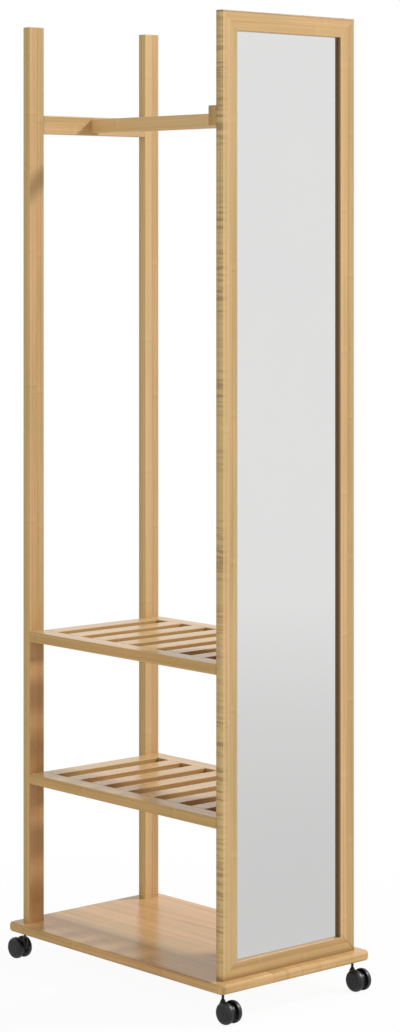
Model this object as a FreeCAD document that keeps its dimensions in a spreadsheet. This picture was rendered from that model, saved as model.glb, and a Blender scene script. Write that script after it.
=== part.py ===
import FreeCAD, Part
import os
import Sketcher
from types import SimpleNamespace

# A tall framed mirror on a wheeled base board, with a hanging rail and two slatted shelves behind it.
# +X is the way the mirror faces, +Y is its right-hand side, and z = 0 is the floor.
# The origin lies on the floor under the middle of the board. Lengths are in millimetres.

sizes = {
    # the four uprights stand inside this outline
    "standLength": 530.0,
    "standWidth": 300.0,
    "uprightHeight": 1582.0,
    "edgeEasing": 1.5,
    # base board
    "boardOverhang": 20.0,
    "boardThickness": 16.0,
    "boardCornerRadius": 12.0,
    "boardEdgeRadius": 5.0,
    # the two posts at the back end
    "postThickness": 18.0,
    "postWidth": 33.0,
    # mitred mirror frame, its glass and its backing
    "frameThickness": 17.0,
    "frameMemberWidth": 33.0,
    "glassLip": 7.0,
    "rebateWidth": 7.0,
    "glassThickness": 5.0,
    "glassClearance": 0.5,
    # cross rails and the hanging rail between them
    "crossRailThickness": 18.0,
    "crossRailHeight": 33.0,
    "crossRailDrop": 155.0,
    "hangingRailThickness": 18.0,
    "hangingRailHeight": 25.0,
    # slatted shelves, their tops measured from the board
    "lowerShelfTop": 264.0,
    "upperShelfTop": 515.0,
    "shelfRailWidth": 33.0,
    "shelfRailHeight": 18.0,
    "slatCount": 8,
    "slatWidth": 35.0,
    "slatThickness": 12.0,
    "tenonLength": 10.0,
    "tenonThickness": 6.0,
    "tenonShoulder": 2.0,
    "fitClearance": 0.1,
    # swivel castors with twin wheels
    "casterHeight": 50.0,
    "casterInset": 22.5,
    "casterTrail": 15.0,
    "wheelRadius": 18.5,
    "wheelWidth": 10.5,
    "wheelShoulder": 6.0,
    "wheelCap": 2.0,
    "wheelSideClearance": 0.5,
    "webRadius": 14.0,
    "armHeight": 12.0,
    "webWidth": 10.0,
    "wellClearance": 0.8,
    "archRadius": 20.0,
    "archDrop": 25.5,
    "bossRadius": 5.4,
    "neckHeight": 5.5,
    "neckTaper": 24.5,
    "hoodGap": 13.0,
    "axleRadius": 2.5,
    "stemRadius": 2.25,
    "stemBoreDepth": 10.0,
    "stemThreadRadius": 3.0,
    "stemThreadLength": 10.0,
    "stemGrooveDepth": 0.5,
    "stemGrooveWidth": 1.2,
    "insertRadius": 5.0,
    "insertLength": 12.0,
    "runningClearance": 0.05,
    "endClearance": 0.3,
    # screws and dowels
    "screwRadius": 2.25,
    "screwHeadRadius": 4.25,
    "screwHeadHeight": 3.0,
    "uprightScrewGrip": 22.0,
    "railScrewGrip": 35.0,
    "stileScrewGrip": 12.0,
    "postScrewOffset": 8.0,
    "postScrewPitch": 11.0,
    "frameScrewInner": 40.0,
    "frameScrewOuter": 100.0,
    "crossScrewSpread": 16.0,
    "dowelRadius": 3.0,
    "shelfDowelGrip": 10.0,
    "shelfDowelEdge": 7.0,
    "shelfDowelPitch": 10.0,
    "crossDowelGrip": 14.0,
    "crossDowelSpread": 16.0,
    "mitreDowelGrip": 12.0,
    "mitreDowelEdge": 14.0,
    # turn clips that hold the backing
    "clipLength": 24.0,
    "clipWidth": 12.0,
    "clipThickness": 1.5,
    "clipOverlap": 7.5,
    "clipScrewEdge": 7.0,
    "clipScrewRadius": 1.5,
    "clipScrewHeadRadius": 3.0,
    "clipScrewHeadHeight": 1.5,
    "clipScrewGrip": 10.0,
    # how far a cutting shape runs past the face it breaks
    "overrun": 1.0,
}

clipHeightShares = (0.08, 0.5, 0.8)
diagonalShare = 0.5 ** 0.5
halfTurn = 180
fullTurn = 360

doc = FreeCAD.newDocument("MirrorStand")
sheet = doc.addObject("Spreadsheet::Sheet", "Sizes")
for row, (name, number) in enumerate(sizes.items(), start=1):
    sheet.set(f"A{row}", name)
    sheet.set(f"B{row}", str(number))
    sheet.setAlias(f"B{row}", name)
doc.recompute()


class Size:
    # A number of the sheet, or a sum of them, kept beside the expression that gives it there.
    def __init__(self, number, text):
        self.number = number
        self.text = text

    def joined(self, sign, other, number):
        return Size(number, f"({self.text} {sign} {other.text})")

    def __add__(self, other):
        other = asSize(other)
        return self.joined("+", other, self.number + other.number)

    def __sub__(self, other):
        other = asSize(other)
        return self.joined("-", other, self.number - other.number)

    def __mul__(self, other):
        other = asSize(other)
        return self.joined("*", other, self.number * other.number)

    def __truediv__(self, other):
        other = asSize(other)
        return self.joined("/", other, self.number / other.number)

    def __rmul__(self, other):
        return asSize(other) * self

    def __neg__(self):
        return asSize(-1) * self


def asSize(thing):
    return thing if isinstance(thing, Size) else Size(thing, repr(thing))


dim = SimpleNamespace(**{name: Size(number, "Sizes." + name) for name, number in sizes.items()})

# Places that several pieces share, worked out from the sheet
boardLength = dim.standLength + 2 * dim.boardOverhang
boardWidth = dim.standWidth + 2 * dim.boardOverhang
boardTop = dim.casterHeight + dim.boardThickness
postOuter = -dim.standLength / 2
postInner = postOuter + dim.postThickness
frameFront = dim.standLength / 2
frameBack = frameFront - dim.frameThickness
halfWidth = dim.standWidth / 2
rebateDepth = dim.frameThickness - dim.glassLip
glassEdge = halfWidth - dim.frameMemberWidth + dim.rebateWidth
uprightTop = boardTop + dim.uprightHeight
crossRailBottom = uprightTop - dim.crossRailDrop - dim.crossRailHeight
crossRailMiddle = crossRailBottom + dim.crossRailHeight / 2
shelfLength = frameBack - postInner
shelfMiddle = (frameBack + postInner) / 2
railInner = halfWidth - dim.shelfRailWidth
railMiddle = halfWidth - dim.shelfRailWidth / 2
slatPitch = (shelfLength - dim.slatWidth) / (dim.slatCount - 1)
shelfTops = {"lower": boardTop + dim.lowerShelfTop, "upper": boardTop + dim.upperShelfTop}
clipHole = dim.clipScrewRadius + dim.fitClearance
sides = {"left": -1, "right": 1}
ends = {"rear": -1, "front": 1}

placed = {"x": "Placement.Base.x", "y": "Placement.Base.y", "z": "Placement.Base.z"}
pieces = {}


def bind(thing, **formulas):
    for key, formula in formulas.items():
        thing.setExpression(placed.get(key, key), asSize(formula).text)


def keep(label, thing):
    # a finished sub-part takes the name that its file will have
    thing.Label = label
    pieces[label] = thing
    return thing


def newBody(x, y, z, turn=0):
    body = doc.addObject("PartDesign::Body", "Body")
    body.Placement = FreeCAD.Placement(FreeCAD.Vector(), FreeCAD.Rotation(FreeCAD.Vector(0, 0, 1), turn))
    bind(body, x=x, y=y, z=z)
    return body


def newSketch(body, role, lift=0):
    plane = next(part for part in body.Origin.OriginFeatures if part.Role == role)
    sketch = body.newObject("Sketcher::SketchObject", "Sketch")
    sketch.AttachmentSupport = [(plane, "")]
    sketch.MapMode = "FlatFace"
    sketch.setExpression("AttachmentOffset.Base.z", asSize(lift).text)
    return sketch


def hold(sketch, kind, edge, spot, formula):
    # one distance of a sketch, measured from its origin, or one radius
    formula = asSize(formula)
    if kind == "Radius":
        rule = Sketcher.Constraint(kind, edge, float(formula.number))
    else:
        rule = Sketcher.Constraint(kind, -1, 1, edge, spot, float(formula.number))
    index = sketch.addConstraint(rule)
    sketch.setExpression(f"Constraints[{index}]", formula.text)


def drawOutline(sketch, corners):
    spots = [FreeCAD.Vector(asSize(across).number, asSize(up).number, 0) for across, up in corners]
    first = sketch.GeometryCount
    following = list(range(1, len(spots))) + [0]
    for index, after in enumerate(following):
        sketch.addGeometry(Part.LineSegment(spots[index], spots[after]), False)
    for index, after in enumerate(following):
        sketch.addConstraint(Sketcher.Constraint("Coincident", first + index, 2, first + after, 1))
    for index, (across, up) in enumerate(corners):
        hold(sketch, "DistanceX", first + index, 1, across)
        hold(sketch, "DistanceY", first + index, 1, up)
    return sketch


def drawBox(sketch, left, right, low, high):
    return drawOutline(sketch, [(left, low), (right, low), (right, high), (left, high)])


def drawRound(sketch, across, up, radius):
    centre = FreeCAD.Vector(asSize(across).number, asSize(up).number, 0)
    edge = sketch.addGeometry(Part.Circle(centre, FreeCAD.Vector(0, 0, 1), asSize(radius).number), False)
    hold(sketch, "DistanceX", edge, 3, across)
    hold(sketch, "DistanceY", edge, 3, up)
    hold(sketch, "Radius", edge, 0, radius)
    return sketch


def pad(body, sketch, length, symmetric=False):
    feature = body.newObject("PartDesign::Pad", "Pad")
    feature.Profile = sketch
    feature.SideType = "Symmetric" if symmetric else "One side"
    bind(feature, Length=length)
    doc.recompute()
    return feature


def cutAway(body, kind, sketch, **settings):
    # a pocket or groove, stopped if it took nothing away
    before = body.Shape.Volume
    feature = body.newObject("PartDesign::" + kind, kind)
    feature.Profile = sketch
    for key, value in settings.items():
        if key == "Length":
            bind(feature, Length=value)
        else:
            setattr(feature, key, value)
    doc.recompute()
    if not feature.Shape.Volume < before:
        raise RuntimeError(f"{kind} of {body.Label} cuts nothing")
    return feature


def dress(body, kind, feature, radius, picked):
    # fillet or chamfer on the edges of a feature that the picking rule accepts
    names = [f"Edge{index}" for index, edge in enumerate(feature.Shape.Edges, start=1) if picked(edge)]
    finish = body.newObject("PartDesign::" + kind, kind)
    finish.Base = (feature, names)
    bind(finish, **{"Radius" if kind == "Fillet" else "Size": radius})
    doc.recompute()
    return finish


def runsAlong(axis):
    # picks the straight edges that lie along one axis
    def picked(edge):
        step = edge.Vertexes[-1].Point - edge.Vertexes[0].Point
        return step.Length > 0 and abs(getattr(step.normalize(), axis.lower())) > diagonalShare
    return picked


def batten(x, y, z, axis, along, across, height, easing=dim.edgeEasing):
    # straight bar from the middle of its underside; a standing bar takes across in X and height in Y
    body = newBody(x, y, z)
    if axis == "Z":
        sketch = drawBox(newSketch(body, "XY_Plane"), -across / 2, across / 2, -height / 2, height / 2)
    else:
        plane = {"X": "YZ_Plane", "Y": "XZ_Plane"}[axis]
        sketch = drawBox(newSketch(body, plane), -across / 2, across / 2, 0, height)
    bar = pad(body, sketch, along, symmetric=axis != "Z")
    dress(body, "Fillet", bar, easing, runsAlong(axis))
    return body


def rod(spot, way, radius, length, setBack=0):
    # round bar from a spot along a way, begun a little behind it where it has to break a face
    bar = doc.addObject("Part::Cylinder", "Rod")
    bar.Placement = FreeCAD.Placement(
        FreeCAD.Vector(), FreeCAD.Rotation(FreeCAD.Vector(0, 0, 1), FreeCAD.Vector(*way))
    )
    x, y, z = [asSize(at) - step * asSize(setBack) for at, step in zip(spot, way)]
    bind(bar, x=x, y=y, z=z, Radius=radius, Height=length + setBack)
    return bar


def fused(shapes):
    if len(shapes) == 1:
        return shapes[0]
    whole = doc.addObject("Part::MultiFuse", "Fused")
    whole.Shapes = shapes
    return whole


def screw(spot, way, grip):
    # grip is the whole length under the head, and the head lies flush with the face it enters
    under = [asSize(at) + step * dim.screwHeadHeight for at, step in zip(spot, way)]
    head = rod(spot, way, dim.screwHeadRadius, dim.screwHeadHeight)
    return fused([head, rod(under, way, dim.screwRadius, grip)])


def screwHole(spot, way, grip):
    head = rod(spot, way, dim.screwHeadRadius + dim.fitClearance, dim.screwHeadHeight, dim.overrun)
    length = dim.screwHeadHeight + grip + dim.fitClearance
    return [head, rod(spot, way, dim.screwRadius + dim.fitClearance, length, dim.overrun)]


def dowel(middle, way, grip):
    start = [asSize(at) - step * grip for at, step in zip(middle, way)]
    return rod(start, way, dim.dowelRadius, 2 * grip)


def dowelHole(middle, way, grip):
    start = [asSize(at) - step * grip for at, step in zip(middle, way)]
    bore = rod(start, way, dim.dowelRadius + dim.fitClearance, 2 * grip + dim.fitClearance, dim.fitClearance)
    return [bore]


def group(label, solids):
    bunch = doc.addObject("Part::Compound", "Group")
    bunch.Links = solids
    return keep(label, bunch)


def drilled(label, blank, tools):
    if not tools:
        return keep(label, blank)
    cut = doc.addObject("Part::Cut", "Cut")
    cut.Base = blank
    cut.Tool = fused(tools)
    return keep(label, cut)


# Fasteners, each list giving the spot, the way it points and its grip
up = (0, 0, 1)
forward = (1, 0, 0)
backward = (-1, 0, 0)
rightward = (0, 1, 0)

postMiddle = (postOuter + postInner) / 2
frameMiddle = (frameBack + frameFront) / 2
boardGrip = dim.boardThickness - dim.screwHeadHeight + dim.uprightScrewGrip
postScrewPlaces = {}
for side, sign in sides.items():
    nearest = halfWidth - dim.postWidth + dim.postScrewOffset
    postScrewPlaces[side] = [
        ((postMiddle, sign * (nearest + step * dim.postScrewPitch), dim.casterHeight), up, boardGrip)
        for step in range(2)
    ]
frameScrewPlaces = [
    ((frameMiddle, sign * distance, dim.casterHeight), up, boardGrip)
    for sign in sides.values()
    for distance in (dim.frameScrewInner, dim.frameScrewOuter)
]
uprightScrewPlaces = postScrewPlaces["left"] + postScrewPlaces["right"] + frameScrewPlaces

throughPost = dim.postThickness - dim.screwHeadHeight + dim.railScrewGrip
throughCrossRail = dim.crossRailThickness - dim.screwHeadHeight
shelfScrewPlaces = {}
shelfDowelPlaces = {}
for shelf, top in shelfTops.items():
    for side, sign in sides.items():
        height = top - dim.shelfRailHeight / 2
        shelfScrewPlaces[shelf, side] = [((postOuter, sign * railMiddle, height), forward, throughPost)]
        distances = [halfWidth - dim.shelfDowelEdge - step * dim.shelfDowelPitch for step in range(2)]
        shelfDowelPlaces[shelf, side] = [
            ((frameBack, sign * distance, height), forward, dim.shelfDowelGrip) for distance in distances
        ]
crossScrewPlaces = {}
crossDowelPlaces = {}
for side, sign in sides.items():
    crossScrewPlaces[side] = []
    crossDowelPlaces[side] = []
    for step in (-1, 1):
        height = crossRailMiddle + step * dim.crossScrewSpread / 2
        spot = (frameBack - dim.crossRailThickness, sign * railMiddle, height)
        crossScrewPlaces[side].append((spot, forward, throughCrossRail + dim.stileScrewGrip))
        height = crossRailMiddle + step * dim.crossDowelSpread / 2
        spot = (postMiddle, sign * (halfWidth - dim.postWidth), height)
        crossDowelPlaces[side].append((spot, rightward, dim.crossDowelGrip))
hangingGrip = throughCrossRail + dim.railScrewGrip
hangingScrewPlaces = {
    "rear": ((postInner - dim.crossRailThickness, 0, crossRailMiddle), forward, hangingGrip),
    "front": ((frameBack, 0, crossRailMiddle), backward, hangingGrip),
}
mitreDowelPlaces = {}
for level, corner, rise in (("bottom", boardTop, 1), ("top", uprightTop, -1)):
    for side, sign in sides.items():
        spot = (frameMiddle, sign * (halfWidth - dim.mitreDowelEdge), corner + rise * dim.mitreDowelEdge)
        across = (0, diagonalShare, sign * rise * diagonalShare)
        mitreDowelPlaces[side, level] = (spot, across, dim.mitreDowelGrip)


def makeBoard():
    body = newBody(0, 0, dim.casterHeight)
    sketch = newSketch(body, "XY_Plane")
    drawBox(sketch, -boardLength / 2, boardLength / 2, -boardWidth / 2, boardWidth / 2)
    slab = pad(body, sketch, dim.boardThickness)
    cornered = dress(body, "Fillet", slab, dim.boardCornerRadius, runsAlong("Z"))
    box = cornered.Shape.BoundBox
    level = FreeCAD.Vector(0, 0, 1)

    def onRim(edge):
        height = edge.CenterOfMass.dot(level)
        return min(abs(height - box.ZMin), abs(height - box.ZMax)) < sizes["fitClearance"]

    dress(body, "Fillet", cornered, dim.boardEdgeRadius, onRim)
    holes = []
    for place in uprightScrewPlaces:
        holes += screwHole(*place)
    for x, y in casterSpots.values():
        holes.append(rod((x, y, dim.casterHeight), up, dim.insertRadius, dim.insertLength, dim.overrun))
    drilled("base_board", body, holes)


def makePosts():
    for side, sign in sides.items():
        middle = sign * (halfWidth - dim.postWidth / 2)
        body = batten(postMiddle, middle, boardTop, "Z", dim.uprightHeight, dim.postThickness, dim.postWidth)
        holes = []
        places = postScrewPlaces[side] + shelfScrewPlaces["lower", side] + shelfScrewPlaces["upper", side]
        for place in places:
            holes += screwHole(*place)
        for place in crossDowelPlaces[side]:
            holes += dowelHole(*place)
        drilled(f"post_{side}", body, holes)


def frameMember(label, corners, axis, tools):
    # one mitred bar of the frame, rebated behind for the glass and eased along its outer edges
    body = newBody(frameBack, 0, boardTop)
    bar = pad(body, drawOutline(newSketch(body, "YZ_Plane"), corners), dim.frameThickness)
    front = bar.Shape.BoundBox.XMax
    ease = dress(body, "Fillet", bar, dim.edgeEasing, lambda edge: runsAlong(axis)(edge) and (
        edge.CenterOfMass.x > front / 2 or edge.Length > longestEdge(bar) - sizes["fitClearance"]
    ))
    inset = dim.frameMemberWidth - dim.rebateWidth
    rebate = drawBox(newSketch(body, "YZ_Plane"), -glassEdge, glassEdge, inset, dim.uprightHeight - inset)
    cutAway(body, "Pocket", rebate, Length=rebateDepth, Reversed=True)
    drilled(label, body, tools)
    return ease


def longestEdge(feature):
    return max(edge.Length for edge in feature.Shape.Edges)


def makeFrame():
    deep = dim.frameMemberWidth
    high = dim.uprightHeight
    for side, sign in sides.items():
        outer = sign * halfWidth
        inner = sign * (halfWidth - deep)
        holes = []
        for shelf in shelfTops:
            for place in shelfDowelPlaces[shelf, side]:
                holes += dowelHole(*place)
        for place in crossScrewPlaces[side]:
            holes += screwHole(*place)
        for level in ("bottom", "top"):
            holes += dowelHole(*mitreDowelPlaces[side, level])
        for spot in clipSpots(side):
            holes.append(rod(spot, forward, clipHole, dim.clipScrewGrip, dim.overrun))
        corners = [(outer, 0), (inner, deep), (inner, high - deep), (outer, high)]
        frameMember(f"frame_stile_{side}", corners, "Z", holes)
    for level, outer, inner in (("bottom", asSize(0), deep), ("top", high, high - deep)):
        holes = []
        for side in sides:
            holes += dowelHole(*mitreDowelPlaces[side, level])
        if level == "bottom":
            for place in frameScrewPlaces:
                holes += screwHole(*place)
        near = halfWidth - deep
        corners = [(-halfWidth, outer), (-near, inner), (near, inner), (halfWidth, outer)]
        frameMember(f"frame_rail_{level}", corners, "Y", holes)


def makeGlass():
    width = 2 * (glassEdge - dim.glassClearance)
    inset = dim.frameMemberWidth - dim.rebateWidth + dim.glassClearance
    height = dim.uprightHeight - 2 * inset
    sheets = {
        "mirror_glass": (frameFront - dim.glassLip - dim.glassThickness, dim.glassThickness),
        "mirror_backing": (frameBack, rebateDepth - dim.glassThickness),
    }
    for label, (x, thickness) in sheets.items():
        pane = doc.addObject("Part::Box", "Pane")
        bind(pane, x=x, y=-width / 2, z=boardTop + inset, Length=thickness, Width=width, Height=height)
        keep(label, pane)


def clipSpots(side):
    at = sides[side] * (glassEdge - dim.clipOverlap + dim.clipLength - dim.clipScrewEdge)
    return [(frameBack, at, boardTop + share * dim.uprightHeight) for share in clipHeightShares]


def makeClips():
    # each clip lies on the frame's back and laps over the edge of the backing
    clips = []
    screws = []
    for side, sign in sides.items():
        tip = glassEdge - dim.clipOverlap
        middle = sign * (tip + dim.clipLength / 2)
        for x, y, z in clipSpots(side):
            plate = doc.addObject("Part::Box", "Plate")
            bind(plate, Length=dim.clipThickness, Width=dim.clipLength, Height=dim.clipWidth)
            bind(plate, x=x - dim.clipThickness, y=middle - dim.clipLength / 2, z=z - dim.clipWidth / 2)
            clip = doc.addObject("Part::Cut", "Clip")
            clip.Base = plate
            clip.Tool = rod((x, y, z), backward, clipHole, dim.clipThickness + dim.overrun, dim.overrun)
            clips.append(clip)
            face = (x - dim.clipThickness, y, z)
            head = rod(face, backward, dim.clipScrewHeadRadius, dim.clipScrewHeadHeight)
            reach = dim.clipThickness + dim.clipScrewGrip - dim.overrun
            screws.append(fused([head, rod(face, forward, dim.clipScrewRadius, reach)]))
    group("backing_clips", clips)
    group("clip_screws", screws)


def makeCrossRails():
    between = dim.standWidth - 2 * dim.postWidth
    rear = batten(postInner - dim.crossRailThickness / 2, 0, crossRailBottom, "Y", between,
                  dim.crossRailThickness, dim.crossRailHeight)
    holes = screwHole(*hangingScrewPlaces["rear"])
    for side in sides:
        for place in crossDowelPlaces[side]:
            holes += dowelHole(*place)
    drilled("post_cross_rail", rear, holes)
    front = batten(frameBack - dim.crossRailThickness / 2, 0, crossRailBottom, "Y", dim.standWidth,
                   dim.crossRailThickness, dim.crossRailHeight)
    holes = screwHole(*hangingScrewPlaces["front"])
    for side in sides:
        for place in crossScrewPlaces[side]:
            holes += screwHole(*place)
    drilled("mirror_cross_rail", front, holes)


def makeHangingRail():
    start = postInner
    end = frameBack - dim.crossRailThickness
    bar = batten((start + end) / 2, 0, crossRailMiddle - dim.hangingRailHeight / 2, "X", end - start,
                 dim.hangingRailThickness, dim.hangingRailHeight)
    holes = []
    for place in hangingScrewPlaces.values():
        holes += screwHole(*place)
    drilled("hanging_rail", bar, holes)


def makeShelfRail(shelf, side):
    # long rail whose inner face takes a row of mortises, one for each slat
    sign = sides[side]
    top = shelfTops[shelf]
    body = newBody(shelfMiddle, sign * railInner, top - dim.shelfRailHeight)
    section = drawBox(newSketch(body, "YZ_Plane"), 0, sign * dim.shelfRailWidth, 0, dim.shelfRailHeight)
    bar = pad(body, section, shelfLength, symmetric=True)
    dress(body, "Fillet", bar, dim.edgeEasing, runsAlong("X"))
    reach = dim.slatWidth / 2 - dim.tenonShoulder + dim.fitClearance
    first = dim.slatWidth / 2 - shelfLength / 2
    height = dim.shelfRailHeight - dim.slatThickness / 2
    half = dim.tenonThickness / 2 + dim.fitClearance
    sketch = drawBox(newSketch(body, "XZ_Plane"), first - reach, first + reach, height - half, height + half)
    mortise = cutAway(body, "Pocket", sketch, Length=dim.tenonLength + dim.fitClearance, Reversed=sign < 0)
    row = body.newObject("PartDesign::LinearPattern", "Row")
    row.Originals = [mortise]
    row.Direction = (sketch, ["H_Axis"])
    bind(row, Length=slatPitch * (dim.slatCount - 1), Occurrences=dim.slatCount)
    body.Tip = row
    doc.recompute()
    holes = []
    for place in shelfScrewPlaces[shelf, side]:
        holes += screwHole(*place)
    for place in shelfDowelPlaces[shelf, side]:
        holes += dowelHole(*place)
    drilled(f"{shelf}_shelf_rail_{side}", body, holes)


def makeSlat(shelf, number):
    x = postInner + dim.slatWidth / 2 + (number - 1) * slatPitch
    gap = 2 * railInner
    body = batten(x, 0, shelfTops[shelf] - dim.slatThickness, "Y", gap, dim.slatWidth, dim.slatThickness)
    reach = dim.slatWidth / 2 - dim.tenonShoulder
    low = (dim.slatThickness - dim.tenonThickness) / 2
    tenon = drawBox(newSketch(body, "XZ_Plane"), -reach, reach, low, low + dim.tenonThickness)
    pad(body, tenon, gap + 2 * dim.tenonLength, symmetric=True)
    keep(f"{shelf}_shelf_slat_{number}", body)


def makeFasteners():
    screws = {
        "upright_screws": uprightScrewPlaces,
        "shelf_screws": sum(shelfScrewPlaces.values(), []),
        "cross_rail_screws": sum(crossScrewPlaces.values(), []),
        "hanging_rail_screws": list(hangingScrewPlaces.values()),
    }
    for label, places in screws.items():
        group(label, [screw(*place) for place in places])
    dowels = {
        "shelf_dowels": sum(shelfDowelPlaces.values(), []),
        "cross_rail_dowels": sum(crossDowelPlaces.values(), []),
        "mitre_dowels": list(mitreDowelPlaces.values()),
    }
    for label, places in dowels.items():
        group(label, [dowel(*place) for place in places])


# The front castors trail forward of their stems and the rear ones backward.
casterSpots = {}
for end, endSign in ends.items():
    for side, sign in sides.items():
        spot = (endSign * (boardLength / 2 - dim.casterInset), sign * (boardWidth / 2 - dim.casterInset))
        casterSpots[f"{end}_{side}"] = spot
axleHalf = dim.webWidth / 2 + dim.wheelSideClearance + dim.wheelWidth - dim.wheelCap - dim.endClearance
neckTop = dim.casterHeight - dim.hoodGap - dim.wheelRadius
bossTop = neckTop - dim.neckHeight


def makeHood(name, x, y, turn):
    # web between the wheels, an arm back to the stem and a boss with a tapered neck, clear of both wheels
    body = newBody(x, y, dim.wheelRadius, turn)
    rim = drawRound(newSketch(body, "XZ_Plane"), 0, 0, dim.webRadius)
    pad(body, rim, dim.webWidth, symmetric=True)
    arm = drawBox(newSketch(body, "XZ_Plane"), -dim.casterTrail, 0, 0, dim.armHeight)
    pad(body, arm, dim.webWidth, symmetric=True)
    pad(body, drawRound(newSketch(body, "XY_Plane"), -dim.casterTrail, 0, dim.bossRadius), bossTop)
    foot = drawRound(newSketch(body, "XY_Plane", bossTop), -dim.casterTrail, 0, dim.bossRadius)
    neck = pad(body, foot, dim.neckHeight)
    bind(neck, TaperAngle=-dim.neckTaper)
    arch = drawRound(newSketch(body, "XZ_Plane"), 0, -dim.archDrop, dim.archRadius)
    cutAway(body, "Pocket", arch, Length=2 * dim.bossRadius + dim.overrun, SideType="Symmetric")
    wells = newSketch(body, "XY_Plane")
    wellRadius = dim.wheelRadius + dim.wellClearance
    for sign in sides.values():
        near = sign * dim.webWidth / 2
        drawBox(wells, 0, wellRadius, near, sign * (dim.bossRadius + dim.overrun))
    cutAway(body, "Groove", wells, ReferenceAxis=(wells, ["V_Axis"]), Angle=fullTurn)
    stemBore = drawRound(newSketch(body, "XY_Plane", neckTop), -dim.casterTrail, 0,
                         dim.stemRadius + dim.runningClearance)
    cutAway(body, "Pocket", stemBore, Length=dim.neckHeight + dim.stemBoreDepth)
    axleBore = drawRound(newSketch(body, "XZ_Plane"), 0, 0, dim.axleRadius)
    cutAway(body, "Pocket", axleBore, Length=dim.webWidth + dim.overrun, SideType="Symmetric")
    keep(f"caster_{name}_hood", body)


def makeWheel(name, side, x, y, turn):
    # turned about its axle: tread, rounded shoulder, closed outer face and a blind bore
    body = newBody(x, y, dim.wheelRadius, turn)
    inner = dim.webWidth / 2 + dim.wheelSideClearance
    outer = inner + dim.wheelWidth
    bore = dim.axleRadius + dim.runningClearance
    corners = [
        (bore, inner),
        (dim.wheelRadius, inner),
        (dim.wheelRadius, outer),
        (0, outer),
        (0, outer - dim.wheelCap),
        (bore, outer - dim.wheelCap),
    ]
    profile = drawOutline(newSketch(body, "XY_Plane"), corners)
    wheel = body.newObject("PartDesign::Revolution", "Wheel")
    wheel.Profile = profile
    wheel.ReferenceAxis = (profile, ["V_Axis"])
    wheel.Angle = fullTurn
    doc.recompute()
    face = wheel.Shape.BoundBox.YMax - sizes["fitClearance"]
    dress(body, "Fillet", wheel, dim.wheelShoulder, lambda edge: edge.CenterOfMass.y > face)
    keep(f"caster_{name}_wheel_{side}", body)


def makeStem(x, y):
    # journal with a retaining groove below the board and a threaded end inside its insert
    body = newBody(x, y, dim.casterHeight)
    low = dim.endClearance - dim.stemBoreDepth - dim.neckHeight - dim.hoodGap
    groove = low + dim.stemGrooveWidth
    corners = [
        (0, low),
        (dim.stemRadius, low),
        (dim.stemRadius, groove),
        (dim.stemRadius - dim.stemGrooveDepth, groove),
        (dim.stemRadius - dim.stemGrooveDepth, groove + dim.stemGrooveWidth),
        (dim.stemRadius, groove + dim.stemGrooveWidth),
        (dim.stemRadius, 0),
        (dim.stemThreadRadius, 0),
        (dim.stemThreadRadius, dim.stemThreadLength),
        (0, dim.stemThreadLength),
    ]
    profile = drawOutline(newSketch(body, "XZ_Plane"), corners)
    stem = body.newObject("PartDesign::Revolution", "Stem")
    stem.Profile = profile
    stem.ReferenceAxis = (profile, ["V_Axis"])
    stem.Angle = fullTurn
    return body


def makeCasters():
    stems = []
    inserts = []
    for name, (x, y) in casterSpots.items():
        sign = ends[name.split("_")[0]]
        turn = 0 if sign > 0 else halfTurn
        axleX = x + sign * dim.casterTrail
        makeHood(name, axleX, y, turn)
        start = (axleX, y - axleHalf, dim.wheelRadius)
        keep(f"caster_{name}_axle", rod(start, rightward, dim.axleRadius, 2 * axleHalf))
        makeWheel(name, "left", axleX, y, halfTurn)
        makeWheel(name, "right", axleX, y, 0)
        stems.append(makeStem(x, y))
        insert = doc.addObject("Part::Cut", "Insert")
        insert.Base = rod((x, y, dim.casterHeight), up, dim.insertRadius, dim.insertLength)
        bore = dim.stemThreadRadius + dim.runningClearance
        insert.Tool = rod((x, y, dim.casterHeight), up, bore, dim.insertLength + dim.overrun, dim.overrun)
        inserts.append(insert)
    group("caster_stems", stems)
    group("caster_inserts", inserts)


makeBoard()
makePosts()
makeFrame()
makeGlass()
makeClips()
makeCrossRails()
makeHangingRail()
for shelfName in shelfTops:
    for sideName in sides:
        makeShelfRail(shelfName, sideName)
    for slatNumber in range(1, sizes["slatCount"] + 1):
        makeSlat(shelfName, slatNumber)
makeFasteners()
makeCasters()
doc.recompute()

for thing in doc.Objects:
    if "Invalid" in thing.State or "Error" in thing.State:
        raise RuntimeError(f"{thing.Label} is {thing.State}")
for label, thing in pieces.items():
    if thing.Shape.isNull() or not thing.Shape.isValid() or not thing.Shape.Solids:
        raise RuntimeError(f"{label} has no valid solid")

os.makedirs("parts", exist_ok=True)
for label, thing in pieces.items():
    thing.Shape.exportStep(f"parts/{label}.step")
    print(label, len(thing.Shape.Solids), round(thing.Shape.Volume))
print(len(pieces), "sub-parts")
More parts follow.
